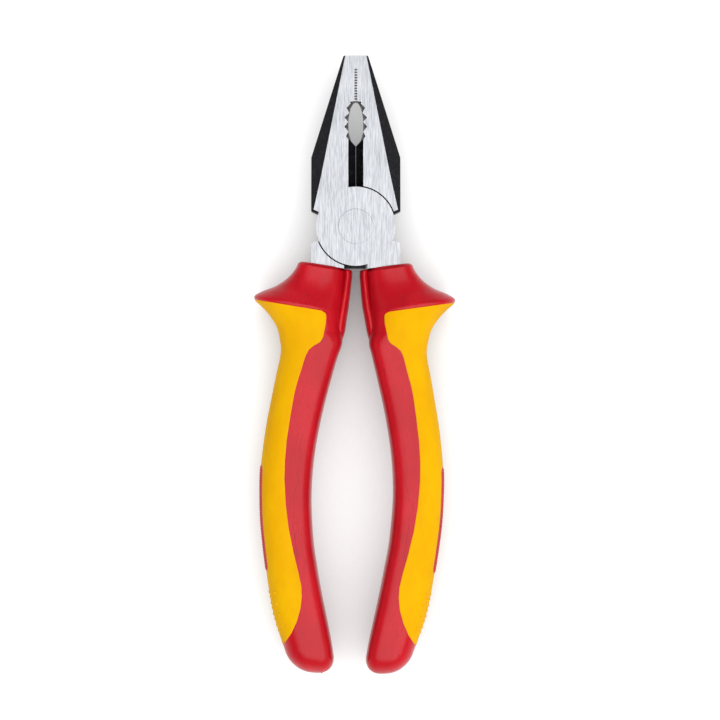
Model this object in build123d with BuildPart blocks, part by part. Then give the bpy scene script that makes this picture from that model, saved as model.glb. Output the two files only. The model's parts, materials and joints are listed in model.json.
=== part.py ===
"""Insulated combination pliers, 180 mm: two lap-jointed levers, a ground rivet and two-shot grips."""

from build123d import *
from math import cos, radians, sin, tan
import os

os.makedirs("parts", exist_ok=True)

# ---- Driving dimensions, mm ----
# Everything is drawn about the pivot's centre: x to the right, y toward the jaw tips, z to the front.
tip_y = 49.6  # jaw tips above the pivot
handle_end_y = -130.4  # handle ends below the pivot
head_thickness = 11.0
head_half_width = 12.96
disc_radius = 11.49
disc_clearance = 0.38  # dark joint line round each half disc
lap_gap = 0.05  # between the two halves of the lap joint
jaw_gap = 0.04  # each jaw stands back this far from the parting plane
rivet_radius = 4.0
rivet_rim_radius = 5.1
rivet_rim_depth = 1.2
rivet_running_gap = 0.03
guard_half_depth = 11.5
overmould_thickness = 1.5
pad_rise = 0.3
handle_lean = 0.9  # degrees that both handles stand toward the left of the head

half_thick = head_thickness / 2
overall_length = tip_y - handle_end_y
guard_tip = (29.3, -21.8)

# The tool lies on its back, with the origin under the middle of its box.
pivot_x = 0.35
lying = Location((pivot_x, overall_length / 2 - tip_y, guard_half_depth))

# ---- Jaw of the front lever, left of the parting plane and full thickness ----
jaw_shoulder_y = 20.06
jaw_foot_y = 4.4
jaw_heel = (-11.0, 3.5)
tip_half_width = 3.57
bevel_slope = 40.0
face_tip_x = 3.06  # edge of the ground face at the tip
face_foot_x = 12.35
foot_bevel = 0.7
taper_start_y = 14.0
taper_slope = 1.2

teeth = 12
teeth_top_y = 45.85
teeth_pitch = 0.773
teeth_depth = 0.47

grip_top_y = 36.4
recess_top_y = 23.4
recess_half_width = 2.2
cutter_top_y = 25.2  # the cutters' recess runs up into the lowest notch of the pipe grip
cutter_land_z = 1.7  # height above the cutting edge where the recess wall begins

# Pipe grip, right half: (half width at the face, height, half width at the middle plane)
pipe_grip = [
    (1.72, 36.15, 0.50),
    (1.55, 35.56, 0.90),
    (2.77, 34.40, 1.55),
    (1.90, 32.90, 1.85),
    (3.38, 31.60, 2.12),
    (2.15, 30.30, 2.15),
    (3.38, 28.90, 2.15),
    (2.15, 27.50, 2.12),
    (2.86, 26.15, 1.75),
    (2.05, 24.90, 1.35),
]


def pipe_grip_outline(height, half_widths):
    """Closed outline of the pipe grip's opening at one height, both jaws together."""
    right = [(x, y) for x, y in zip(half_widths, [row[1] for row in pipe_grip])]
    left = [(-x, y) for x, y in reversed(right)]
    with BuildSketch(Plane.XY.offset(height)) as outline:
        with BuildLine():
            Polyline((0, grip_top_y), *right, (0, recess_top_y), *left, (0, grip_top_y))
        make_face()
    return outline.sketch


with BuildPart() as pipe_opening:
    for face_z in (-half_thick - 0.01, half_thick + 0.01):
        add(pipe_grip_outline(face_z, [row[0] for row in pipe_grip]))
        add(pipe_grip_outline(0, [row[2] for row in pipe_grip]))
        loft(ruled=True)

with BuildPart() as cutter_recess:
    with BuildSketch(Plane.XZ.offset(-cutter_top_y)):
        with BuildLine():
            Polyline(
                (0, 0),
                (recess_half_width - 0.1, cutter_land_z),
                (recess_half_width, half_thick + 1),
                (-recess_half_width, half_thick + 1),
                (0.1 - recess_half_width, cutter_land_z),
                (0, 0),
            )
        make_face()
        mirror(about=Plane.XZ)
    extrude(amount=cutter_top_y - disc_radius / 2)

with BuildPart() as jaw:
    with BuildSketch(Plane.XY.offset(-half_thick)):
        with BuildLine():
            Polyline(
                (-jaw_gap, tip_y),
                (-tip_half_width, tip_y),
                (-head_half_width, jaw_shoulder_y),
                (-head_half_width, jaw_foot_y),
                jaw_heel,
                (-jaw_gap, jaw_heel[1]),
                (-jaw_gap, tip_y),
            )
        make_face()
    extrude(amount=head_thickness)
    fillet(jaw.edges().filter_by(Axis.Z).group_by(Axis.Y)[-1].sort_by(Axis.X)[0], radius=0.6)
    fillet(jaw.edges().filter_by(Axis.Z).group_by(Axis.Y)[-3], radius=1.2)
    # The oxide-black bevels fall away outside a straight edge of the ground face.
    outward = Vector(jaw_foot_y - tip_y, face_foot_x - face_tip_x, 0).normalized()
    tip_z = half_thick - (tip_y - taper_start_y) * tan(radians(taper_slope))
    for side in (1, -1):
        edge = Vector(face_tip_x - face_foot_x, jaw_foot_y - tip_y, side * (half_thick - tip_z))
        down = outward * cos(radians(bevel_slope)) - Vector(0, 0, side * sin(radians(bevel_slope)))
        fall = edge.cross(down) * -side
        thin = Vector(0, sin(radians(taper_slope)), side * cos(radians(taper_slope)))
        split(bisect_by=Plane(origin=(-face_tip_x, tip_y, side * tip_z), z_dir=fall), keep=Keep.BOTTOM)
        split(bisect_by=Plane(origin=(0, taper_start_y, side * half_thick), z_dir=thin), keep=Keep.BOTTOM)
        # The foot is bevelled along its underside as well.
        under = Vector(jaw_heel[1] - jaw_foot_y, -head_half_width - jaw_heel[0], 0).normalized()
        chamfered = Vector(*jaw_heel, side * half_thick) - under * foot_bevel
        split(bisect_by=Plane(origin=chamfered, z_dir=under + Vector(0, 0, side)), keep=Keep.BOTTOM)
    # Fine serrations across the nose.
    with BuildSketch(Plane.XY.offset(-half_thick)):
        with Locations((0, teeth_top_y - teeth * teeth_pitch / 2)):
            with GridLocations(0, teeth_pitch, 1, teeth):
                Polygon(
                    (teeth_depth, 0),
                    (0, teeth_pitch / 2),
                    (-teeth_depth, 0),
                    (0, -teeth_pitch / 2),
                    align=None,
                )
    extrude(amount=head_thickness, mode=Mode.SUBTRACT)
    add(pipe_opening.part, mode=Mode.SUBTRACT)
    add(cutter_recess.part, mode=Mode.SUBTRACT)


# ---- Head of one lever: left jaw, front half disc and right shoulder ----
shoulder_top_y = -4.2
shoulder_corner = ((12.1, -4.5), (12.71, -4.76), (head_half_width, -5.4))
shoulder_inner_x = 3.4
shoulder_blank_y = -14.0  # the blank is cut off along the collar's top
collar_line = ((3.9, -12.2), (16.4, -10.3))  # where the steel ends and the grip's collar begins
land_x = (-3.9, 2.9)  # land of the rear lever that shows below the front disc
land_foot_y = -12.1

with BuildPart() as shoulder:
    with BuildSketch(Plane.XY.offset(-half_thick)):
        with BuildLine():
            ThreePointArc(*shoulder_corner)
            Polyline(
                shoulder_corner[-1],
                (head_half_width, shoulder_blank_y),
                (shoulder_inner_x, shoulder_blank_y),
                (shoulder_inner_x, shoulder_top_y),
                (10.4, shoulder_top_y),
                shoulder_corner[0],
            )
        make_face()
    extrude(amount=head_thickness)

with BuildPart() as head:
    add(jaw.part)
    add(shoulder.part)
    # The other lever's half disc turns in this room behind the middle plane.
    with Locations((0, 0, lap_gap / 2)):
        Cylinder(
            disc_radius + disc_clearance,
            head_thickness,
            align=(Align.CENTER, Align.CENTER, Align.MAX),
            mode=Mode.SUBTRACT,
        )
    with Locations((0, 0, lap_gap / 2)):
        Cylinder(
            disc_radius,
            half_thick - lap_gap / 2,
            align=(Align.CENTER, Align.CENTER, Align.MIN),
        )


def rivet_profile(plane, growth):
    """Half section of the rivet, grown outward by a running gap."""
    with BuildSketch(plane) as profile:
        with BuildLine():
            Polyline(
                (0, -half_thick),
                (rivet_rim_radius + growth, -half_thick),
                (rivet_rim_radius + growth, -half_thick + 0.3),
                (rivet_radius + growth, -half_thick + rivet_rim_depth),
                (rivet_radius + growth, half_thick - rivet_rim_depth),
                (rivet_rim_radius + growth, half_thick - 0.3),
                (rivet_rim_radius + growth, half_thick),
                (0, half_thick),
                (0, -half_thick),
            )
        make_face()
    return profile.sketch


with BuildPart() as rivet:
    add(rivet_profile(Plane.XZ, 0))
    revolve(axis=Axis.Z)

with BuildPart() as rivet_room:
    add(rivet_profile(Plane.XZ, rivet_running_gap))
    revolve(axis=Axis.Z)

# ---- Tang, hidden in the grip ----
tang_half_thick = 4.0
tang_inner = [(4.9, -11.0), (5.6, -24), (8.4, -38), (13.4, -58), (15.4, -76), (14.6, -94), (11.5, -112)]
tang_outer = [(11.6, -11.0), (13.0, -24), (16.6, -38), (21.2, -58), (22.6, -76), (21.4, -94), (17.5, -112)]

with BuildPart() as tang:
    with BuildSketch(Plane.XY.offset(-tang_half_thick)):
        with BuildLine():
            Spline(*tang_inner)
            Line(tang_inner[-1], tang_outer[-1])
            Spline(*tang_outer)
            Line(tang_outer[0], tang_inner[0])
        make_face()
    extrude(amount=2 * tang_half_thick)
    fillet(tang.edges().filter_by(Axis.Z).group_by(Axis.Y)[0], radius=2.0)

# ---- Grip for the right hand side of the tool, before it leans ----
# Each cross-section: inner edge (x, y), outer edge (x, y), half depth, squareness of its corners.
inner_fullness = 0.12  # the corners on the inner side are squarer by this much
collar_sections = [
    (*collar_line, 7.5, 0.82),
    ((3.7, -16.6), (18.7, -14.0), 7.9, 0.78),
    ((3.6, -20.4), (23.4, -17.9), 9.0, 0.72),
    ((3.5, -23.4), (27.6, -20.2), 10.5, 0.66),
    ((3.45, -25.4), guard_tip, guard_half_depth, 0.62),
]
grip_sections = [
    ((3.45, -25.4), guard_tip, guard_half_depth, 0.62),
    ((3.4, -28.0), (26.2, -24.9), 9.9, 0.62),
    ((3.6, -30.9), (23.1, -28.8), 9.0, 0.62),
    ((4.3, -33.8), (21.6, -32.6), 8.5, 0.62),
    ((5.6, -38.6), (21.4, -38.2), 8.3, 0.62),
    ((8.5, -50.8), (23.8, -50.8), 8.5, 0.62),
    ((11.1, -64.8), (25.95, -64.8), 8.8, 0.62),
    ((12.0, -78.8), (26.55, -78.8), 9.0, 0.62),
    ((10.95, -92.8), (25.5, -92.8), 8.8, 0.62),
    ((8.5, -106.7), (23.45, -106.7), 8.5, 0.62),
    ((5.95, -120.4), (20.4, -119.4), 8.3, 0.64),
    ((5.1, -125.6), (18.5, -124.8), 7.9, 0.64),
    ((5.7, -128.6), (16.9, -128.0), 6.7, 0.62),
    ((8.0, handle_end_y + 0.1), (14.0, handle_end_y + 0.1), 3.6, 0.60),
]


def grip_section(inner, outer, half_depth, squareness, inset):
    """Closed oval across the grip, drawn from its inner edge to its outer edge, fuller inside."""
    inner = Vector(*inner)
    outer = Vector(*outer)
    across = (outer - inner).normalized()
    half_width = (outer - inner).length / 2 - inset
    depth = half_depth - inset
    place = Plane(origin=(inner + outer) / 2, x_dir=across, z_dir=across.cross(Vector(0, 0, 1)))
    with BuildSketch(place) as section:
        with BuildLine():
            for right, up in ((1, 1), (-1, 1), (-1, -1), (1, -1)):
                fullness = squareness if right > 0 else min(squareness + inner_fullness, 0.86)
                Bezier(
                    (right * half_width, 0),
                    (right * half_width, up * depth * fullness),
                    (right * half_width * fullness, up * depth),
                    (0, up * depth),
                )
        make_face()
    return section.sketch


def grip_body(sections, inset):
    """Solid through a run of cross-sections, all drawn in by the same inset."""
    with BuildPart() as body:
        for inner, outer, half_depth, squareness in sections:
            add(grip_section(inner, outer, half_depth, squareness, inset))
        loft()
    return body.part


# The overmould covers the outer side, front and back alike, inside this outline.
overmould_top = [(30.5, -22.2), (10.2, -24.9)]
overmould_corner = [(8.8, -25.8), (8.8, -28.2), (9.7, -32.6)]
overmould_edge = [
    (9.7, -32.6),
    (12.2, -35.0),
    (14.8, -39.0),
    (17.3, -48.5),
    (19.3, -62.5),
    (19.65, -73.0),
    (18.1, -88.3),
    (14.9, -101.0),
    (14.0, -107.0),
    (15.9, -115.8),
    (19.8, -121.6),
    (24.0, -124.5),
]
pad_top_y = -69.3
pad_foot_y = -100.9
pad_half_width = 5.2
pad_inner_x = 19.9

with BuildPart() as overmould_zone:
    with BuildSketch(Plane.XY.offset(-guard_half_depth - 1)):
        with BuildLine():
            Polyline(*overmould_top, *overmould_corner)
            Spline(*overmould_edge)
            Polyline(overmould_edge[-1], (34, -124.5), (34, -22.2), overmould_top[0])
        make_face()
    extrude(amount=2 * guard_half_depth + 2)

with BuildPart() as pad_zone:
    with BuildSketch(Plane.YZ.offset(pad_inner_x)):
        with Locations(((pad_top_y + pad_foot_y) / 2, 0)):
            RectangleRounded(pad_top_y - pad_foot_y, 2 * pad_half_width, 2.4)
    extrude(amount=10)

with BuildPart() as overmould:
    add(grip_body(grip_sections, 0))
    add(overmould_zone.part, mode=Mode.INTERSECT)
    add(grip_body(grip_sections, overmould_thickness), mode=Mode.SUBTRACT)
    add(pad_zone.part, mode=Mode.SUBTRACT)

with BuildPart() as pad:
    add(grip_body(grip_sections, -pad_rise))
    add(pad_zone.part, mode=Mode.INTERSECT)

# The fin stands on the collar's inner side, between the two handles.
fin_half_thick = 2.8
fin_line = [(2.1, -12.5), (1.3, -14.6), (1.5, -16.6), (1.9, -20.4), (2.3, -23.6), (3.1, -27.6), (4.2, -31.4)]

with BuildPart() as fin:
    with BuildSketch(Plane.XY.offset(-fin_half_thick)):
        with BuildLine():
            Line((6.0, -12.0), fin_line[0])
            Spline(*fin_line)
            Polyline(fin_line[-1], (6.0, -31.4), (6.0, -12.0))
        make_face()
    extrude(amount=2 * fin_half_thick)
    fillet(fin.edges().filter_by(GeomType.BSPLINE), radius=1.2)

with BuildPart() as sleeve:
    add(grip_body(collar_sections, 0))
    add(grip_body(grip_sections, 0))
    add(fin.part)
    add(pad.part)
    add(overmould.part, mode=Mode.SUBTRACT)

# ---- The two handed sets ----
# The rear lever is the front lever turned half a turn about the tool's long axis; the grips are
# mirror images of one another. Both tangs and grips then lean the same way about the pivot.
lean = Location((0, 0, 0), (0, 0, -handle_lean))


def finished(shape, turn_over):
    """A lever's share of the tool at its side, leaning, in the frame of the pivot."""
    if turn_over:
        shape = shape.mirror(Plane.YZ)
    return shape.moved(lean)


def collar_seat(side):
    """Plane of the collar's top on the right (1) or left (-1), facing the jaws."""
    (inner_x, inner_y), (outer_x, outer_y) = collar_line
    corner = Vector(side * inner_x, inner_y, 0).rotate(Axis.Z, -handle_lean)
    upward = Vector(side * (inner_y - outer_y), outer_x - inner_x, 0).rotate(Axis.Z, -handle_lean)
    return Plane(origin=corner, z_dir=upward)


with BuildPart() as front_lever:
    add(head.part)
    split(bisect_by=collar_seat(1), keep=Keep.TOP)
    add(finished(tang.part, turn_over=False))
    add(rivet.part, mode=Mode.SUBTRACT)

with BuildPart() as rear_lever:
    add(head.part.rotate(Axis.Y, 180))
    with BuildSketch(Plane.XY.offset(-half_thick)):
        with BuildLine():
            Polyline(
                (land_x[0], -disc_radius / 2),
                (land_x[0], land_foot_y),
                (land_x[1], land_foot_y),
                (land_x[1], -disc_radius / 2),
                (land_x[0], -disc_radius / 2),
            )
        make_face()
    extrude(amount=half_thick - lap_gap / 2)
    split(bisect_by=collar_seat(-1), keep=Keep.TOP)
    add(finished(tang.part, turn_over=True))
    add(rivet_room.part, mode=Mode.SUBTRACT)

with BuildPart() as right_grip_sleeve:
    add(finished(sleeve.part, turn_over=False))
    add(front_lever.part, mode=Mode.SUBTRACT)

with BuildPart() as left_grip_sleeve:
    add(finished(sleeve.part, turn_over=True))
    add(rear_lever.part, mode=Mode.SUBTRACT)

with BuildPart() as right_grip_overmould:
    add(finished(overmould.part, turn_over=False))

with BuildPart() as left_grip_overmould:
    add(finished(overmould.part, turn_over=True))

with BuildPart() as pivot_rivet:
    add(rivet.part)

for piece in (
    front_lever,
    rear_lever,
    pivot_rivet,
    right_grip_sleeve,
    right_grip_overmould,
    left_grip_sleeve,
    left_grip_overmould,
):
    piece.part = piece.part.moved(lying)

front_lever.part.label = "front_lever"
export_step(front_lever.part, "parts/front_lever.step")
rear_lever.part.label = "rear_lever"
export_step(rear_lever.part, "parts/rear_lever.step")
pivot_rivet.part.label = "pivot_rivet"
export_step(pivot_rivet.part, "parts/pivot_rivet.step")
right_grip_sleeve.part.label = "right_grip_sleeve"
export_step(right_grip_sleeve.part, "parts/right_grip_sleeve.step")
right_grip_overmould.part.label = "right_grip_overmould"
export_step(right_grip_overmould.part, "parts/right_grip_overmould.step")
left_grip_sleeve.part.label = "left_grip_sleeve"
export_step(left_grip_sleeve.part, "parts/left_grip_sleeve.step")
left_grip_overmould.part.label = "left_grip_overmould"
export_step(left_grip_overmould.part, "parts/left_grip_overmould.step")
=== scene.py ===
"""Insulated combination pliers, 180 mm long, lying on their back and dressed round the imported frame.

The head is the frame's own steel, merged and given ground faces, broken edges and black oxide. Each
grip is lofted anew from the cross-sections of a GripForm: a hard sleeve, a soft overmould, a knurled
pad and the overmould's nubs. Sizes are in millimetres about the pivot's centre, x toward the outer
side of the right grip, y toward the jaw tips and z to the front, until a piece is put in its place.
"""

import json
import logging
import math
from dataclasses import dataclass, field
from enum import Enum
from typing import Callable, Sequence

import bmesh
import bpy
from mathutils import Matrix, Vector


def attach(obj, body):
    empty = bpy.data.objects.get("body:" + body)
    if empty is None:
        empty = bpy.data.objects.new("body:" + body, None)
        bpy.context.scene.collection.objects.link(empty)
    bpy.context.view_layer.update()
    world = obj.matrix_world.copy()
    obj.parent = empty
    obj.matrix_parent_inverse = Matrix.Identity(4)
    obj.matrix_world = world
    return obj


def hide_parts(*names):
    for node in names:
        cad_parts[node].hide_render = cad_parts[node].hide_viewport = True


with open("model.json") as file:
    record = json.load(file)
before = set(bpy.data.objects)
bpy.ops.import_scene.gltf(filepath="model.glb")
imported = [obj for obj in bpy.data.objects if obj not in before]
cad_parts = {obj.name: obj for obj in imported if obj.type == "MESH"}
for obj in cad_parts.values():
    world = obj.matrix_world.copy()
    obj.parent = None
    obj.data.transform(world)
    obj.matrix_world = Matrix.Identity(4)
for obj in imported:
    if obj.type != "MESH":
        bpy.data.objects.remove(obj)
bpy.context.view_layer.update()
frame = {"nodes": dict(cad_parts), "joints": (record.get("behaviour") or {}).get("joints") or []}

MM = 0.001
LOG = logging.getLogger("pliers")

# The middle of the view, from the pivot.
VIEW_CENTRE = (1.22, -38.82, 0)

Ring = list[Vector]

# How much further the left grip's inner side stands out than the right grip's, and at what y.
LEFT_GROWTH = (
    (0.5, -12.0),
    (0.5, -23.0),
    (0.8, -27.4),
    (1.05, -31.4),
    (0.95, -34.0),
    (0.55, -40.0),
    (0.42, -56.0),
    (0.35, -76.0),
    (0.12, -102.0),
    (0.40, -116.0),
    (0.50, -130.0),
)


class Hand(Enum):
    """Which grip of the tool a piece belongs to."""

    RIGHT = 1
    LEFT = -1

    @property
    def prefix(self) -> str:
        """Start of the names of this grip's pieces."""
        return f"{self.name.lower()}_grip"

    @property
    def body(self) -> str:
        """The rigid body that this grip is moulded on."""
        return "front_half" if self is Hand.RIGHT else "rear_half"


# ---------------------------------------------------------------- curves and lofts


def between(rows: Sequence[Sequence[float]], place: float) -> list[float]:
    """Smooth curve through rows of numbers.

    Args:
        rows: The rows that the curve passes through, one per whole place.
        place: How far along, in rows.

    Returns:
        The row at that place.
    """
    last = len(rows) - 1
    place = min(max(place, 0.0), float(last))
    start = min(int(place), last - 1)
    t = place - start
    a, b = rows[max(start - 1, 0)], rows[start]
    c, d = rows[start + 1], rows[min(start + 2, last)]
    return [
        q + 0.5 * t * (r - p + t * (2 * p - 5 * q + 4 * r - s + t * (3 * (q - r) + s - p)))
        for p, q, r, s in zip(a, b, c, d)
    ]


def at_height(line: Sequence[tuple[float, float]], y: float) -> float:
    """Read x off a line of (x, y) points that runs downward.

    Args:
        line: Points from the highest to the lowest.
        y: Height to read at.

    Returns:
        The x of the line there, or of its nearer end.
    """
    if y >= line[0][1]:
        return line[0][0]
    for (x0, y0), (x1, y1) in zip(line, line[1:]):
        if y >= y1:
            t = (y0 - y) / (y0 - y1)
            return x0 + (x1 - x0) * t
    return line[-1][0]


def eased(x: float, low: float, high: float) -> float:
    """Smooth step from 0 at low to 1 at high."""
    t = min(max((x - low) / (high - low), 0.0), 1.0)
    return t * t * (3 - 2 * t)


def rounded(inward: float, radius: float) -> float:
    """Height of a quarter-round edge, from 0 at the edge to 1 at radius inward of it."""
    t = 1 - min(max(inward / radius, 0.0), 1.0)
    return math.sqrt(max(1 - t * t, 0.0))


def loft(rings: Sequence[Ring]) -> bmesh.types.BMesh:
    """Skin a row of closed rings and cap both ends.

    Args:
        rings: Rings of the same number of points, in order.

    Returns:
        A closed mesh through all the rings.
    """
    solid = bmesh.new()
    previous: list[bmesh.types.BMEdge] = []
    for ring in rings:
        made = bmesh.ops.create_circle(solid, cap_ends=False, segments=len(ring), radius=1.0)
        verts = made["verts"]
        for vert, place in zip(verts, ring):
            vert.co = place
        edges = list({edge for vert in verts for edge in vert.link_edges})
        if previous:
            bmesh.ops.bridge_loops(solid, edges=previous + edges)
        previous = edges
    ends = [edge for edge in solid.edges if len(edge.link_faces) < 2]
    bmesh.ops.holes_fill(solid, edges=ends, sides=0)
    return solid


# ---------------------------------------------------------------- materials


class Recipe:
    """One procedural material, put together node by node."""

    def __init__(self, name: str) -> None:
        """Start a material that holds only its shader."""
        self.material = bpy.data.materials.new(name)
        self.material.use_nodes = True
        self.tree = self.material.node_tree
        self.shader = self.tree.nodes["Principled BSDF"]

    def node(self, kind: str, inputs: dict | None = None, **settings: object) -> bpy.types.Node:
        """Add a node.

        Args:
            kind: Blender's name for the node.
            inputs: Socket names or numbers, with a value or a socket to link from.
            settings: Properties of the node itself.

        Returns:
            The new node.
        """
        made = self.tree.nodes.new(kind)
        for name, value in settings.items():
            setattr(made, name, value)
        for key, value in (inputs or {}).items():
            self.feed(made.inputs[key], value)
        return made

    def feed(self, socket: bpy.types.NodeSocket, value: object) -> None:
        """Link or set one input socket."""
        if isinstance(value, bpy.types.NodeSocket):
            self.tree.links.new(value, socket)
        else:
            socket.default_value = value

    def place(self, scale: tuple[float, float, float]) -> bpy.types.NodeSocket:
        """Object coordinates, stretched so that a pattern has these many cells per metre."""
        source = self.node("ShaderNodeTexCoord").outputs["Object"]
        return self.node("ShaderNodeMapping", {"Vector": source, "Scale": scale}).outputs[0]

    def run(self, scale: tuple[float, float, float]) -> bpy.types.NodeSocket:
        """Coordinates that follow the grip: across and along it, in millimetres, and z."""
        source = self.node("ShaderNodeAttribute", attribute_name="grip_run").outputs["Vector"]
        return self.node("ShaderNodeMapping", {"Vector": source, "Scale": scale}).outputs[0]

    def noise(
        self, where: bpy.types.NodeSocket, detail: float = 4.0, rough: float = 0.55
    ) -> bpy.types.NodeSocket:
        """Noise of one cell per unit of where."""
        inputs = {"Vector": where, "Scale": 1.0, "Detail": detail, "Roughness": rough}
        return self.node("ShaderNodeTexNoise", inputs).outputs[0]

    def ramp(self, value: bpy.types.NodeSocket, low: float, high: float) -> bpy.types.NodeSocket:
        """Stretch the values from low to high over 0 to 1."""
        inputs = {"Value": value, "From Min": low, "From Max": high}
        return self.node("ShaderNodeMapRange", inputs, interpolation_type="SMOOTHSTEP").outputs[0]

    def span(self, value: bpy.types.NodeSocket, low: float, high: float) -> bpy.types.NodeSocket:
        """Spread 0 to 1 over low to high."""
        return self.node("ShaderNodeMapRange", {"Value": value, "To Min": low, "To Max": high}).outputs[0]

    def blend(self, share: object, first: object, second: object) -> bpy.types.NodeSocket:
        """Mix two colours by a share."""
        mix = self.node("ShaderNodeMix", data_type="RGBA")
        for key, value in ((0, share), (6, first), (7, second)):
            self.feed(mix.inputs[key], value)
        return mix.outputs[2]

    def sum(self, first: object, second: object, how: str = "ADD") -> bpy.types.NodeSocket:
        """One arithmetic step on two values."""
        return self.node("ShaderNodeMath", {0: first, 1: second}, operation=how).outputs[0]

    def relief(self, height: bpy.types.NodeSocket, depth_mm: float, strength: float = 1.0) -> None:
        """Raise the surface by a height of 0 to 1 times a depth, on top of any earlier relief."""
        inputs: dict = {"Height": height, "Distance": depth_mm * MM, "Strength": strength}
        normal = self.shader.inputs["Normal"]
        if normal.is_linked:
            inputs["Normal"] = normal.links[0].from_socket
        self.feed(normal, self.node("ShaderNodeBump", inputs).outputs[0])

    def set(self, **values: object) -> None:
        """Set or link shader inputs, with underscores for the spaces in their names."""
        for name, value in values.items():
            self.feed(self.shader.inputs[name.replace("_", " ")], value)


@dataclass(frozen=True)
class GroundSteel:
    """Bright faces ground lengthwise after the black finish."""

    light: tuple = (0.465, 0.475, 0.498, 1)
    dull: tuple = (0.20, 0.207, 0.225, 1)
    roughness: float = 0.33

    def make(self, name: str = "ground_steel") -> bpy.types.Material:
        """Build the material."""
        recipe = Recipe(name)
        strokes = recipe.noise(recipe.place((3600, 190, 900)), 5.0, 0.6)
        fine = recipe.noise(recipe.place((11000, 520, 2600)), 3.0, 0.6)
        cloud = recipe.noise(recipe.place((130, 90, 130)), 3.0)
        both = recipe.sum(recipe.sum(strokes, 0.65, "MULTIPLY"), recipe.sum(fine, 0.35, "MULTIPLY"))
        streak = recipe.ramp(both, 0.33, 0.66)
        tone = recipe.sum(recipe.sum(streak, 0.75, "MULTIPLY"), recipe.sum(cloud, 0.25, "MULTIPLY"))
        recipe.set(
            Base_Color=recipe.blend(tone, self.dull, self.light),
            Metallic=1.0,
            Roughness=recipe.span(both, self.roughness - 0.06, self.roughness + 0.12),
        )
        recipe.relief(both, 0.012, 0.5)
        return recipe.material


@dataclass(frozen=True)
class BlackOxide:
    """Thin black conversion finish on the forged and machined flanks."""

    black: tuple = (0.006, 0.006, 0.008, 1)
    worn: tuple = (0.016, 0.016, 0.020, 1)
    roughness: float = 0.36
    shine: float = 0.22

    def make(self, name: str = "black_oxide") -> bpy.types.Material:
        """Build the material."""
        recipe = Recipe(name)
        mottle = recipe.noise(recipe.place((900, 900, 900)), 5.0)
        grain = recipe.noise(recipe.place((5200, 1300, 5200)), 3.0)
        share = recipe.ramp(mottle, 0.42, 0.72)
        recipe.set(
            Base_Color=recipe.blend(share, self.black, self.worn),
            Specular_IOR_Level=self.shine,
            Roughness=recipe.span(grain, self.roughness - 0.05, self.roughness + 0.14),
        )
        recipe.relief(grain, 0.012, 0.5)
        recipe.relief(mottle, 0.03, 0.35)
        return recipe.material


@dataclass(frozen=True)
class CutSteel:
    """Bare flanks of the broached notches, dull and a little oily."""

    light: tuple = (0.30, 0.30, 0.31, 1)
    dull: tuple = (0.14, 0.14, 0.15, 1)
    roughness: float = 0.42

    def make(self, name: str = "cut_steel") -> bpy.types.Material:
        """Build the material."""
        recipe = Recipe(name)
        scores = recipe.noise(recipe.place((900, 900, 5200)), 4.0)
        film = recipe.noise(recipe.place((420, 420, 420)), 3.0)
        recipe.set(
            Base_Color=recipe.blend(recipe.ramp(film, 0.36, 0.66), self.dull, self.light),
            Metallic=1.0,
            Roughness=recipe.span(scores, self.roughness - 0.08, self.roughness + 0.12),
        )
        recipe.relief(scores, 0.014, 0.5)
        return recipe.material


@dataclass(frozen=True)
class HardPlastic:
    """Red polypropylene of the first shot, satin, with faint flow lines along the grip."""

    colour: tuple = (0.66, 0.008, 0.020, 1)
    deep: tuple = (0.56, 0.005, 0.014, 1)
    scuffed: tuple = (0.70, 0.045, 0.055, 1)
    hairline: tuple = (0.33, 0.004, 0.010, 1)
    roughness: float = 0.30
    shine: float = 0.27

    def make(self, name: str) -> bpy.types.Material:
        """Build the material."""
        recipe = Recipe(name)
        flow = recipe.noise(recipe.run((2.6, 0.055, 0.5)), 5.0, 0.6)
        hair = recipe.noise(recipe.run((1.1, 0.035, 0.25)), 2.0)
        sparse = recipe.noise(recipe.run((0.35, 0.06, 0.2)), 2.0)
        speck = recipe.noise(recipe.run((2.4, 0.9, 1.6)), 3.0)
        cloud = recipe.noise(recipe.place((120, 70, 120)), 3.0)
        skin = recipe.noise(recipe.place((2600, 2600, 2600)), 3.0)
        body = recipe.blend(recipe.ramp(cloud, 0.35, 0.68), self.deep, self.colour)
        lines = recipe.sum(recipe.ramp(flow, 0.60, 0.72), 0.35, "MULTIPLY")
        near = recipe.sum(recipe.sum(hair, 0.5, "SUBTRACT"), 0.0, "ABSOLUTE")
        thin = recipe.sum(recipe.ramp(near, 0.016, 0.004), recipe.ramp(sparse, 0.50, 0.60), "MULTIPLY")
        scratches = recipe.sum(thin, 0.8, "MULTIPLY")
        mottled = recipe.blend(recipe.ramp(speck, 0.45, 0.75), body, self.deep)
        recipe.set(
            Base_Color=recipe.blend(scratches, recipe.blend(lines, mottled, self.scuffed), self.hairline),
            Roughness=recipe.span(flow, self.roughness - 0.07, self.roughness + 0.10),
            Specular_IOR_Level=self.shine,
        )
        recipe.relief(skin, 0.012, 0.35)
        recipe.relief(recipe.ramp(speck, 0.3, 0.7), 0.02, 0.3)
        return recipe.material


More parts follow.
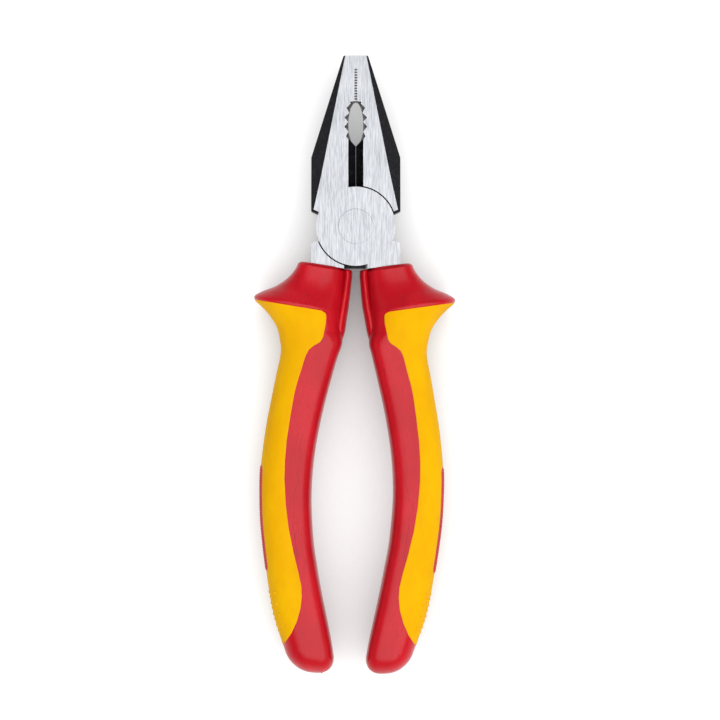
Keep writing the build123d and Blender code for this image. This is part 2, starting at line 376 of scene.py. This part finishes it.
@dataclass(frozen=True)
class SoftOvermould:
    """Yellow thermoplastic rubber of the second shot, matt with a fine eroded grain."""

    colour: tuple = (0.95, 0.505, 0.001, 1)
    deep: tuple = (0.90, 0.445, 0.001, 1)
    rubbed: tuple = (0.96, 0.530, 0.003, 1)
    roughness: float = 0.62
    shine: float = 0.05

    def make(self, name: str) -> bpy.types.Material:
        """Build the material."""
        recipe = Recipe(name)
        cloud = recipe.noise(recipe.place((150, 80, 150)), 3.0)
        grain = recipe.noise(recipe.place((6500, 6500, 6500)), 2.0)
        body = recipe.blend(recipe.ramp(cloud, 0.32, 0.70), self.deep, self.colour)
        recipe.set(
            Base_Color=recipe.blend(recipe.ramp(grain, 0.55, 0.8), body, self.rubbed),
            Roughness=recipe.span(grain, self.roughness - 0.06, self.roughness + 0.10),
            Specular_IOR_Level=self.shine,
        )
        recipe.relief(grain, 0.018, 0.45)
        return recipe.material


@dataclass(frozen=True)
class PaleTable:
    """Plain pale sweep under the tool that glows white as painted light, with painted shadow wherever ambient
    occlusion finds the tool close by.
    """

    colour: tuple = (0.26, 0.26, 0.26, 1)
    glow: float = 0.88
    gain: float = 1.2  # painted glow per share of open sky, up to the full glow; the shortfall near the tool is painted shadow
    reach: float = 0.026

    def make(self, name: str = "pale_table") -> bpy.types.Material:
        """Build the material."""
        recipe = Recipe(name)
        # The glow is painted light, and its dimming by ambient occlusion near the tool is painted shadow.
        cover = recipe.node("ShaderNodeAmbientOcclusion", {"Distance": self.reach}, samples=24)
        painted_shadow_glow = recipe.sum(cover.outputs["AO"], self.gain, "MULTIPLY")
        recipe.set(
            Base_Color=self.colour,
            Roughness=0.9,
            Specular_IOR_Level=0.0,
            Emission_Color=(1, 1, 1, 1),
            Emission_Strength=recipe.sum(painted_shadow_glow, self.glow, "MINIMUM"),
        )
        return recipe.material


# ---------------------------------------------------------------- putting pieces in place


@dataclass
class Placing:
    """Turns shapes drawn about the pivot into finished pieces of the scene."""

    pivot: Vector
    lean_deg: float = 0.9

    def for_hand(self, hand: Hand) -> Matrix:
        """Matrix from a right-hand drawing to that grip's place, in metres."""
        turn_over = Matrix.Diagonal((hand.value, 1, 1, 1))
        lean = Matrix.Rotation(-math.radians(self.lean_deg), 4, "Z")
        return Matrix.Translation(self.pivot) @ Matrix.Scale(MM, 4) @ lean @ turn_over

    def finish(
        self,
        solid: bmesh.types.BMesh,
        name: str,
        hand: Hand,
        finish: bpy.types.Material,
        slot: str,
        replaced: Sequence[str] = (),
        note: Callable[[Vector], Vector] | None = None,
    ) -> bpy.types.Object:
        """Make a piece of a closed mesh and let it ride on its body.

        Args:
            solid: The mesh, in millimetres about the pivot; it is freed.
            name: Name of the piece.
            hand: Grip that the piece belongs to.
            finish: Its material.
            slot: Material slot of the record for its finish; not used.
            replaced: Nodes of the frame that it stands for.
            note: Gives the grip_run attribute of a point of the drawing.

        Returns:
            The new object.
        """
        bmesh.ops.remove_doubles(solid, verts=solid.verts, dist=0.0005)
        bmesh.ops.recalc_face_normals(solid, faces=solid.faces)
        notes = [note(vert.co) for vert in solid.verts] if note else []
        bmesh.ops.transform(solid, matrix=self.for_hand(hand), verts=solid.verts)
        if hand is Hand.LEFT:
            bmesh.ops.reverse_faces(solid, faces=solid.faces)
        for face in solid.faces:
            face.smooth = True
        mesh = bpy.data.meshes.new(name)
        solid.to_mesh(mesh)
        solid.free()
        if notes:
            layer = mesh.attributes.new("grip_run", "FLOAT_VECTOR", "POINT")
            layer.data.foreach_set("vector", [number for row in notes for number in row])
        mesh.materials.append(finish)
        piece = bpy.data.objects.new(name, mesh)
        bpy.context.scene.collection.objects.link(piece)
        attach(piece, hand.body)
        if replaced:
            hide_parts(*replaced)
        LOG.info("%s: %d faces", name, len(mesh.polygons))
        return piece


# ---------------------------------------------------------------- the steel


@dataclass
class Head:
    """The two levers and the rivet: ground faces, black flanks and broken edges."""

    half_thick: float = 5.5
    edge_break: float = 0.07
    joint_ring: tuple = (11.3, 12.1)  # radii between which the joint's walls lie
    sharp_deg: float = 24.0
    bright_tilt: float = 0.985  # a face that looks this much along z has been ground
    face_zone: float = 1.6  # how far below the full thickness the tapered jaws' ground faces reach
    flat_area: float = 6.0  # faces larger than this are plane
    merge_deg: float = 0.6  # faces that meet at less than this become one
    crease_deg: float = 30.0  # edges sharper than this are not shaded smooth
    pipe_grip_span: tuple = (25.3, 36.6)
    pipe_grip_reach: float = 3.6
    steel: bpy.types.Material = field(default_factory=lambda: GroundSteel().make())
    oxide: bpy.types.Material = field(default_factory=lambda: BlackOxide().make())
    cut: bpy.types.Material = field(default_factory=lambda: CutSteel().make())

    def dress(self, node: str, body: str, centre_z: float) -> bpy.types.Object:
        """Copy a node of the frame, break its edges and give each face its finish.

        Args:
            node: Name of the node.
            body: Body that it rides on.
            centre_z: Height of the head's middle plane in metres.

        Returns:
            The piece that stands for the node.
        """
        solid = bmesh.new()
        solid.from_mesh(frame["nodes"][node].data)
        bmesh.ops.remove_doubles(solid, verts=solid.verts, dist=1e-7)
        bmesh.ops.dissolve_limit(
            solid,
            angle_limit=math.radians(self.merge_deg),
            verts=solid.verts,
            edges=solid.edges,
            use_dissolve_boundaries=False,
        )
        self.mark_finishes(solid, centre_z)
        self.break_edges(solid)
        self.paint_joint_shade(solid)
        mesh = bpy.data.meshes.new(f"{node}_steel")
        solid.to_mesh(mesh)
        solid.free()
        mesh.materials.append(self.oxide)
        mesh.materials.append(self.steel)
        mesh.materials.append(self.cut)
        mesh.set_sharp_from_angle(angle=math.radians(self.crease_deg))
        for polygon in mesh.polygons:
            polygon.use_smooth = polygon.area < self.flat_area * MM * MM
        piece = bpy.data.objects.new(f"{node}_steel", mesh)
        bpy.context.scene.collection.objects.link(piece)
        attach(piece, body)
        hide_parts(node)
        LOG.info("%s: %d faces", piece.name, len(mesh.polygons))
        return piece

    def mark_finishes(self, solid: bmesh.types.BMesh, centre_z: float) -> None:
        """Mark the ground faces bright and leave all others black."""
        lowest = (self.half_thick - self.face_zone) * MM
        for face in solid.faces:
            height = abs(face.calc_center_median().z - centre_z)
            ground = abs(face.normal.z) > self.bright_tilt and height > lowest
            face.material_index = 1 if ground else 2 if self.in_pipe_grip(face) else 0

    def in_pipe_grip(self, face: bmesh.types.BMFace) -> bool:
        """Whether a face is one of the broached flanks of the pipe grip's notches."""
        x, y, _ = (face.calc_center_median() - Vector(frame["joints"][0]["pos_m"])) / MM
        low, high = self.pipe_grip_span
        return abs(x) < self.pipe_grip_reach and low < y < high

    def paint_joint_shade(self, solid: bmesh.types.BMesh) -> None:
        """Colour the broken edges along the joint line black oxide, which also paints the shade of the
        joint's gap wider.
        """
        pivot = Vector(frame["joints"][0]["pos_m"])
        nearest, farthest = self.joint_ring
        for face in solid.faces:
            middle = face.calc_center_median()
            radius = (middle - pivot).xy.length / MM
            # Black broken edges in this ring widen the dark line of the gap: painted shade.
            if nearest < radius < farthest and face.calc_area() < self.flat_area * MM * MM:
                face.material_index = 0

    def break_edges(self, solid: bmesh.types.BMesh) -> None:
        """Take the burr off every sharp outside edge with a small round."""
        sharp = [
            edge
            for edge in solid.edges
            if len(edge.link_faces) == 2 and edge.calc_face_angle(0) > math.radians(self.sharp_deg)
        ]
        bmesh.ops.bevel(
            solid,
            geom=sharp,
            offset=self.edge_break * MM,
            offset_type="OFFSET",
            segments=2,
            profile=0.5,
            affect="EDGES",
            clamp_overlap=True,
            material=-1,
        )


# ---------------------------------------------------------------- the grips


@dataclass
class GripForm:
    """Outer shape of the right grip, as cross-sections from the collar to the last before the end.

    Each section is a rounded oval from its inner edge to its outer edge: inner x, inner y, outer x,
    outer y, half depth and squareness, where 2 is an ellipse.
    """

    sections: tuple = (
        (3.4, -12.2, 16.4, -10.3, 7.0, 4.6),
        (3.5, -14.9, 17.5, -12.7, 7.35, 4.3),
        (3.8, -17.6, 19.8, -15.4, 7.95, 3.9),
        (4.05, -20.2, 23.0, -17.6, 8.9, 3.4),
        (4.35, -22.5, 26.7, -19.1, 10.2, 3.0),
        (4.6, -24.2, 28.9, -20.3, 11.2, 2.9),
        (4.65, -25.0, 29.3, -21.2, 11.5, 2.9),
        (4.7, -25.9, 28.7, -22.2, 11.1, 2.9),
        (4.8, -27.3, 26.7, -24.0, 10.1, 2.8),
        (4.85, -29.2, 24.3, -26.7, 9.2, 2.5),
        (4.5, -31.6, 22.5, -29.6, 8.7, 2.5),
        (4.4, -34.4, 21.6, -32.9, 8.4, 2.6),
        (5.3, -37.8, 21.2, -37.0, 8.3, 2.6),
        (6.8, -43.8, 22.5, -43.8, 8.35, 2.6),
        (8.5, -50.8, 23.8, -50.8, 8.5, 2.6),
        (9.95, -57.8, 25.05, -57.8, 8.7, 2.6),
        (11.1, -64.8, 25.95, -64.8, 8.85, 2.6),
        (11.8, -71.8, 26.55, -71.8, 8.95, 2.6),
        (12.0, -78.8, 26.55, -78.8, 9.0, 2.6),
        (11.65, -85.8, 26.25, -85.8, 8.9, 2.6),
        (10.95, -92.8, 25.5, -92.8, 8.8, 2.6),
        (9.75, -99.7, 24.55, -99.7, 8.7, 2.6),
        (8.5, -106.7, 23.45, -106.7, 8.5, 2.6),
        (7.1, -113.7, 22.0, -113.5, 8.4, 2.6),
        (5.75, -120.4, 20.0, -119.8, 8.25, 2.6),
        (5.1, -124.2, 18.8, -123.4, 8.1, 2.5),
    )
    inner_squareness: tuple = (-2.0, 1.4)  # added on the inner side, at the collar and along the grip
    roundest: float = 2.6  # least squareness of the inner side, so that the collar covers the tang
    growth: tuple = ((0.0, 0.0),)  # how far the inner side stands out further, by y
    ridge: float = 6.0  # place of the guard's ridge among the sections
    end_dome: float = 6.5
    step: float = 0.5  # spacing of the rings along the grip

    @property
    def last(self) -> float:
        """Place of the last section."""
        return float(len(self.sections) - 1)

    def edges_at(self, place: float) -> tuple[Vector, Vector, float, float]:
        """Inner edge, outer edge, half depth and squareness at a place."""
        inner_x, inner_y, outer_x, outer_y, depth, square = between(self.sections, place)
        inner_x -= at_height(self.growth, inner_y)
        return Vector((inner_x, inner_y, 0)), Vector((outer_x, outer_y, 0)), depth, square

    def inner_extra(self, place: float) -> float:
        """What the inner side adds to the squareness: rounder at the collar, squarer along the grip."""
        collar, grip = self.inner_squareness
        return collar + (grip - collar) * eased(place, 7.5, 11.5)

    def point(self, place: float, angle: float, lift: float = 0.0) -> Vector:
        """Point on the surface.

        Args:
            place: Place among the sections.
            angle: Turn round the section from its outer edge over the front.
            lift: Height off the surface.

        Returns:
            The point, in millimetres about the pivot.
        """
        inner, outer, depth, square = self.edges_at(place)
        across = (outer - inner).normalized()
        half = (outer - inner).length / 2
        c, s = math.cos(angle), math.sin(angle)
        square = max(square + self.inner_extra(place) * (c < 0), self.roundest)
        reach = (abs(c) ** square + abs(s) ** square) ** (-1 / square)
        side = across * ((half + lift) * reach * c)
        return (inner + outer) / 2 + side + Vector((0, 0, (depth + lift) * reach * s))

    def angle_at(self, place: float, x: float) -> float:
        """Angle at which the front of the section at a place stands over a given x."""
        inner, outer, _, square = self.edges_at(place)
        share = min(max(2 * (x - inner.x) / (outer.x - inner.x) - 1, -1.0), 1.0)
        square = max(square + self.inner_extra(place) * (share < 0), self.roundest)
        rise = (1 - abs(share) ** square) ** (1 / square)
        return math.atan2(rise, share)

    def places(self, first: float, final: float, step: float | None = None) -> list[float]:
        """Places of rings about one step apart, from first to final."""
        step = step or self.step
        found = [first]
        while found[-1] < final:
            here = found[-1]
            a, b = self.edges_at(here)[:2], self.edges_at(here + 0.01)[:2]
            speed = max((b[0] - a[0]).length, (b[1] - a[1]).length, 0.004) / 0.01
            found.append(min(here + step / speed, final))
        return found

    def place_of(self, y: float) -> float:
        """Place whose outer edge lies at height y."""
        low, high = self.ridge, self.last
        for _ in range(40):
            middle = (low + high) / 2
            low, high = (middle, high) if self.edges_at(middle)[1].y > y else (low, middle)
        return low

    def run(self, point: Vector) -> Vector:
        """Across, along and z of a point, for patterns that follow the grip."""
        inner_x = at_height([(row[0], row[1]) for row in self.sections], point.y)
        return Vector((point.x - inner_x, point.y, point.z))


@dataclass
class Grip:
    """One two-shot grip: sleeve, fin, overmould, pad and nubs."""

    hand: Hand
    placing: Placing
    hard: bpy.types.Material
    soft: bpy.types.Material
    form: GripForm
    around: int = 128

    # Inner edge of the overmould on the front, from the guard down to the outer side.
    border: tuple = (
        (9.6, -24.9),
        (9.05, -25.1),
        (8.7, -25.5),
        (8.56, -26.0),
        (8.55, -26.9),
        (8.75, -28.4),
        (9.35, -31.0),
        (9.7, -32.6),
        (10.4, -33.8),
        (12.2, -34.9),
        (13.5, -36.0),
        (14.3, -37.7),
        (15.3, -41.5),
        (16.4, -45.2),
        (17.25, -48.7),
        (18.25, -55.2),
        (19.2, -62.3),
        (19.6, -68.0),
        (19.65, -73.5),
        (19.1, -81.0),
        (18.1, -88.0),
        (16.5, -95.0),
        (14.9, -101.0),
        (14.15, -104.5),
        (14.0, -107.5),
        (14.4, -111.1),
        (15.5, -114.9),
        (17.0, -118.2),
        (18.9, -121.0),
        (20.4, -122.6),
    )
    border_growth: float = 0.75  # share of the inner side's growth that the edge follows
    overmould_top: float = 6.35  # place just under the ridge where the soft shot starts
    overmould_foot_y: float = -122.0
    overmould_rise: float = 0.10
    edge_round: float = 0.35
    sunk: float = 0.8

    # Outline of the fin between the handles.
    fin_silhouette: tuple = (
        (1.35, -12.4),
        (1.3, -14.6),
        (1.5, -16.4),
        (1.8, -19.9),
        (2.2, -23.4),
        (2.95, -26.9),
        (3.6, -30.4),
        (4.5, -33.6),
    )
    fin_top: float = -12.45
    fin_foot: float = -33.4
    fin_corner: float = 0.6
    fin_half_width: float = 1.35
    fin_spread: float = 0.3  # how much wider on each side it grows toward its foot
    fin_taper: float = 0.35  # share of its width that it loses where it runs out
    fin_depth: float = 4.3
    fin_sink: float = 0.8  # depth that it loses where it runs out

    pad_top_y: float = -69.3
    pad_foot_y: float = -100.9
    pad_half_width: float = 5.2
    pad_corner: float = 2.4
    pad_rise: float = 0.12
    knurl_pitch: float = 1.55
    knurl_height: float = 0.24

    nub_radius: float = 0.52
    nub_rows: int = 4
    nub_sunk: float = 0.16
    nub_top_y: float = -106.6
    nub_pitch: float = 3.2
    nub_depths: tuple = (-6.3, -4.2, -2.1, 0.0, 2.1, 4.2, 6.3)

    def border_angle(self, place: float) -> float:
        """Angle of the overmould's edge on the front of the section at a place."""
        inner, outer = self.form.edges_at(place)[:2]
        x = 10.0
        for _ in range(12):
            share = (x - inner.x) / (outer.x - inner.x)
            y = inner.y + (outer.y - inner.y) * min(max(share, 0), 1)
            x = at_height(self.border, y) - at_height(self.form.growth, y) * self.border_growth
        return self.form.angle_at(place, x)

    def build(self) -> None:
        """Make all the pieces of this grip."""
        self.sleeve()
        self.fin()
        self.overmould()
        self.pad()
        self.nubs()
        if self.hand is Hand.LEFT:
            self.gate_mark()

    def finish(self, solid: bmesh.types.BMesh, part: str, finish: bpy.types.Material, *replaced: str) -> None:
        """Put a mesh of this grip in its place."""
        name = f"{self.hand.prefix}_{part}"
        slot = "grip_soft" if finish is self.soft else "grip_hard"
        self.placing.finish(solid, name, self.hand, finish, slot, replaced, self.form.run)

    def sleeve(self) -> None:
        """The hard first shot, sunk a little where the overmould lies over it."""
        form = self.form
        rings = [self.collar_ring(turn) for turn in (0, 25, 50, 75)]
        start = 0.3
        along = 0.0
        before = None
        for place in form.places(start, form.last):
            middle = form.point(place, math.pi / 2)
            along += (middle - before).length if before and place > self.overmould_top else 0.0
            before = middle
            border = self.border_angle(place)
            rings.append([self.sleeve_point(place, angle, border, along) for angle in self.turns()])
        rings += [self.dome_ring(turn) for turn in (12, 24, 36, 48, 58, 66, 73, 79, 84, 87.5)]
        self.finish(loft(rings), "hard_shell", self.hard, f"{self.hand.prefix}_sleeve")

    def turns(self) -> list[float]:
        """Angles of the points of a full ring."""
        return [2 * math.pi * index / self.around for index in range(self.around)]

    def collar_ring(self, turn_deg: float) -> Ring:
        """Ring of the collar's rounded top edge, from its flat top at 0 to its flank at 90."""
        turn = math.radians(turn_deg)
        radius = 0.9
        inset = radius * (1 - math.sin(turn))
        drop = radius * (1 - math.cos(turn))
        inner, outer = self.form.edges_at(0)[:2]
        down = (outer - inner).normalized().cross(Vector((0, 0, 1)))
        return [self.form.point(0, angle, -inset) + down * drop for angle in self.turns()]

    def dome_ring(self, turn_deg: float) -> Ring:
        """Ring of the rounded end, from the last section at 0 to its crown at 90."""
        turn = math.radians(turn_deg)
        inner, outer = self.form.edges_at(self.form.last)[:2]
        centre = (inner + outer) / 2
        above = sum(self.form.edges_at(self.form.last - 0.3)[:2], Vector()) / 2
        axis = (centre - above).normalized()
        shrink = math.cos(turn) ** 0.86
        crown = centre + axis * (self.form.end_dome * math.sin(turn))
        ring = (self.form.point(self.form.last, angle) - centre for angle in self.turns())
        return [crown + spoke * shrink for spoke in ring]

    def sleeve_point(self, place: float, angle: float, border: float, along: float) -> Vector:
        """Point of the sleeve, sunk under the overmould."""
        turned = min(angle, 2 * math.pi - angle)
        surface = self.form.point(place, angle)
        inward = 0.0
        if turned < border and place > self.overmould_top and along > 0:
            edge = self.form.point(place, border)
            inward = min((surface - edge).length if angle < math.pi else abs(surface.x - edge.x) * 1.2, along)
        depth = self.sunk * eased(inward, 0.4, 1.6)
        return self.form.point(place, angle, -depth) if depth else surface

    def fin(self) -> None:
        """The rib on the collar's inner side, which runs out into the grip."""
        count, around = 70, 56
        rings = []
        for index in range(count + 1):
            y = self.fin_top + (self.fin_foot - self.fin_top) * index / count
            near = at_height(self.fin_silhouette, y) - at_height(self.form.growth, y)
            cap = rounded(self.fin_top - y, self.fin_corner) or 0.02
            full = self.fin_half_width + self.fin_spread * eased(-y, 14, 28)
            half = full * (1 - self.fin_taper * eased(-y, 29, 33.4))
            depth = self.fin_depth - self.fin_sink * eased(-y, 24, 33) - self.fin_corner * (1 - cap)
            centre = near + half
            ring = []
            for turn in (2 * math.pi * step / around for step in range(around)):
                side = -math.cos(turn) * half * (cap if math.cos(turn) > 0 else 1.0)
                ring.append(Vector((centre + side, y, depth * math.sin(turn))))
            rings.append(ring)
        self.finish(loft(rings), "fin", self.hard)

    def overmould(self) -> None:
        """The soft second shot: a curved shell round the outer side, with rounded edges."""
        form = self.form
        foot = form.place_of(self.overmould_foot_y)
        places = form.places(self.overmould_top, foot, 0.42)
        rings, along, before = [], 0.0, form.point(places[0], math.pi / 2)
        for place in places:
            middle = form.point(place, math.pi / 2)
            along += (middle - before).length
            before = middle
            rings.append(self.overmould_ring(place, self.border_angle(place), along))
        self.finish(loft(rings), "soft_shell", self.soft, f"{self.hand.prefix}_overmould")

    def overmould_ring(self, place: float, border: float, along: float) -> Ring:
        """Closed ring of the overmould: over the outside from edge to edge and back inside.

        Args:
            place: Place among the sections.
            border: Angle of its edge on the front.
            along: Distance from the overmould's top edge.

        Returns:
            The ring's points.
        """
        form, outside, inside = self.form, 88, 40
        fine = [border * (1 - 2 * index / 240) for index in range(241)]
        spots = [form.point(place, angle) for angle in fine]
        lengths = [0.0]
        for a, b in zip(spots, spots[1:]):
            lengths.append(lengths[-1] + (b - a).length)
        total = lengths[-1]
        ring: Ring = []
        for index in range(outside + 1):
            t = index / outside
            # Points crowd toward both edges, where the shell is rounded.
            warped = t - 0.11 * math.sin(2 * math.pi * t)
            target = warped * total
            spot = next((k for k, length in enumerate(lengths) if length >= target), 240)
            span = max(lengths[spot] - lengths[spot - 1], 1e-9) if spot else 1.0
            part = (target - lengths[spot - 1]) / span if spot else 0.0
            angle = fine[spot] if spot == 0 else fine[spot - 1] + (fine[spot] - fine[spot - 1]) * part
            inward = min(target, total - target, along)
            edge = rounded(inward, self.edge_round)
            ring.append(form.point(place, angle, self.overmould_rise - 0.35 * (1 - edge)))
        for index in range(1, inside):
            angle = -border + 2 * border * index / inside
            ring.append(form.point(place, angle, -1.3))
        return ring

    def pad(self) -> None:
        """The knurled pad of the first shot, standing through the overmould on the outer side."""
        form = self.form
        first, final = form.place_of(self.pad_top_y), form.place_of(self.pad_foot_y)
        rings = []
        for place in form.places(first, final, 0.2):
            y = form.edges_at(place)[1].y
            from_end = min(self.pad_top_y - y, y - self.pad_foot_y)
            narrowing = self.pad_corner * (1 - rounded(from_end, self.pad_corner))
            rings.append(self.pad_ring(place, self.pad_half_width - narrowing, from_end))
        self.finish(loft(rings), "knurled_pad", self.hard)

    def pad_ring(self, place: float, half_width: float, from_end: float) -> Ring:
        """Closed ring of the pad at one place, its top knurled and its foot inside the overmould."""
        _, outer, depth, square = self.form.edges_at(place)
        count, ring = 64, []
        for index in range(count + 1):
            z = half_width * (1 - 2 * index / count)
            share = (1 - (abs(z) / depth) ** square) ** (1 / square)
            angle = math.atan2(z / depth, share)
            inward = min(half_width - abs(z), from_end)
            lift = self.pad_rise * rounded(inward, 0.5) + self.knurl(outer.y, z) * eased(inward, 0.4, 1.0)
            ring.append(self.form.point(place, angle, lift))
        for index in range(1, 24):
            z = -half_width + 2 * half_width * index / 24
            share = (1 - (abs(z) / depth) ** square) ** (1 / square)
            ring.append(self.form.point(place, math.atan2(z / depth, share), -1.0))
        return ring

    def knurl(self, y: float, z: float) -> float:
        """Height of the diamond knurl at a place on the pad."""
        first = abs(((y + z) / self.knurl_pitch) % 1 - 0.5) * 2
        second = abs(((y - z) / self.knurl_pitch) % 1 - 0.5) * 2
        return self.knurl_height * eased(min(1 - first, 1 - second), 0.12, 0.75)

    def nubs(self) -> None:
        """Small domes on the outer side below the pad, in staggered rows."""
        form, solid = self.form, bmesh.new()
        for column, z in enumerate(self.nub_depths):
            for row in range(self.nub_rows):
                y = self.nub_top_y - self.nub_pitch * (row + 0.5 * (column % 2))
                place = form.place_of(y)
                _, _, depth, square = form.edges_at(place)
                share = (1 - (abs(z) / depth) ** square) ** (1 / square)
                angle = math.atan2(z / depth, share)
                if self.border_angle(place) < abs(angle) + 0.12:
                    continue
                sunk = self.nub_sunk * (2 - abs(z) / self.nub_depths[-1])
                centre = Matrix.Translation(form.point(place, angle, self.overmould_rise - sunk))
                bmesh.ops.create_uvsphere(
                    solid, u_segments=12, v_segments=8, radius=self.nub_radius, matrix=centre
                )
        self.finish(solid, "soft_nubs", self.soft)

    def gate_mark(self) -> None:
        """The stub where the runner was cut off at the end of this grip."""
        solid = bmesh.new()
        crown = self.dome_ring(89.5)
        spot = sum(crown, Vector()) / len(crown) + Vector((-2.2, 0.1, 0))
        lie = Matrix.Translation(spot) @ Matrix.Rotation(math.pi / 2, 4, "X")
        bmesh.ops.create_cone(
            solid, cap_ends=True, segments=16, radius1=0.34, radius2=0.26, depth=0.5, matrix=lie
        )
        self.finish(solid, "gate_mark", self.hard)


# ---------------------------------------------------------------- the studio


@dataclass
class Studio:
    """Pale table, soft lights and the camera straight above."""

    sight: Vector
    view_height: float = 0.2099
    lens: float = 200.0
    sensor: float = 36.0

    def table(self) -> None:
        """Wide pale table that the tool lies on."""
        sheet = bmesh.new()
        bmesh.ops.create_grid(sheet, x_segments=1, y_segments=1, size=3.0)
        mesh = bpy.data.meshes.new("table")
        sheet.to_mesh(mesh)
        sheet.free()
        mesh.materials.append(PaleTable().make())
        floor = bpy.data.objects.new("table", mesh)
        bpy.context.scene.collection.objects.link(floor)

    def lamp(self, name: str, place: Vector, size: float, power: float) -> None:
        """Soft square lamp aimed at the tool."""
        light = bpy.data.lights.new(name, "AREA")
        light.shape = "SQUARE"
        light.size = size
        light.energy = power
        lamp = bpy.data.objects.new(name, light)
        lamp.location = place
        lamp.rotation_mode = "QUATERNION"
        lamp.rotation_quaternion = (self.sight - place).to_track_quat("-Z", "Y")
        bpy.context.scene.collection.objects.link(lamp)

    def sky(self, zenith: float, horizon: float) -> None:
        """White room, brighter round its walls than over the lamp."""
        world = bpy.data.worlds.new("studio")
        world.use_nodes = True
        tree = world.node_tree
        ways = tree.nodes.new("ShaderNodeTexCoord")
        parts = tree.nodes.new("ShaderNodeSeparateXYZ")
        spread = tree.nodes.new("ShaderNodeMapRange")
        spread.interpolation_type = "SMOOTHSTEP"
        for socket, value in (("From Max", 0.75), ("To Min", horizon), ("To Max", zenith)):
            spread.inputs[socket].default_value = value
        tree.links.new(ways.outputs["Generated"], parts.inputs[0])
        tree.links.new(parts.outputs["Z"], spread.inputs["Value"])
        tree.links.new(spread.outputs[0], tree.nodes["Background"].inputs["Strength"])
        tree.nodes["Background"].inputs["Color"].default_value = (1, 1, 1, 1)
        bpy.context.scene.world = world

    def camera(self) -> None:
        """Camera above the tool, with the whole of it in view."""
        lens = bpy.data.cameras.new("camera")
        lens.lens = self.lens
        lens.sensor_width = self.sensor
        lens.clip_start = 0.01
        lens.clip_end = 20
        camera = bpy.data.objects.new("camera", lens)
        distance = self.view_height / 2 / (self.sensor / 2 / self.lens)
        camera.location = self.sight + Vector((0, 0, distance))
        bpy.context.scene.collection.objects.link(camera)
        bpy.context.scene.camera = camera

    def set_up(self) -> None:
        """Lay the table, light the room, hang the lamp and stand the camera."""
        self.table()
        self.sky(zenith=0.08, horizon=0.5)
        self.lamp("overhead", self.sight + Vector((0.25, -0.24, 1.45)), size=2.0, power=32.0)
        self.camera()
        bpy.context.scene.view_settings.view_transform = "Standard"


def main() -> None:
    """Dress the steel, mould the grips and set up the studio."""
    logging.basicConfig(level=logging.INFO, format="%(name)s: %(message)s")
    pivot = Vector(frame["joints"][0]["pos_m"])
    head = Head()
    head.dress("front_lever", "front_half", pivot.z)
    head.dress("rear_lever", "rear_half", pivot.z)
    head.dress("pivot_rivet", "front_half", pivot.z)
    placing = Placing(pivot)
    hard = HardPlastic().make("red_hard_shot")
    soft = SoftOvermould().make("yellow_soft_shot")
    for hand in Hand:
        form = GripForm(growth=LEFT_GROWTH) if hand is Hand.LEFT else GripForm()
        Grip(hand, placing, hard, soft, form).build()
    Studio(pivot + Vector(VIEW_CENTRE) * MM).set_up()


if __name__ == "__main__":
    main()
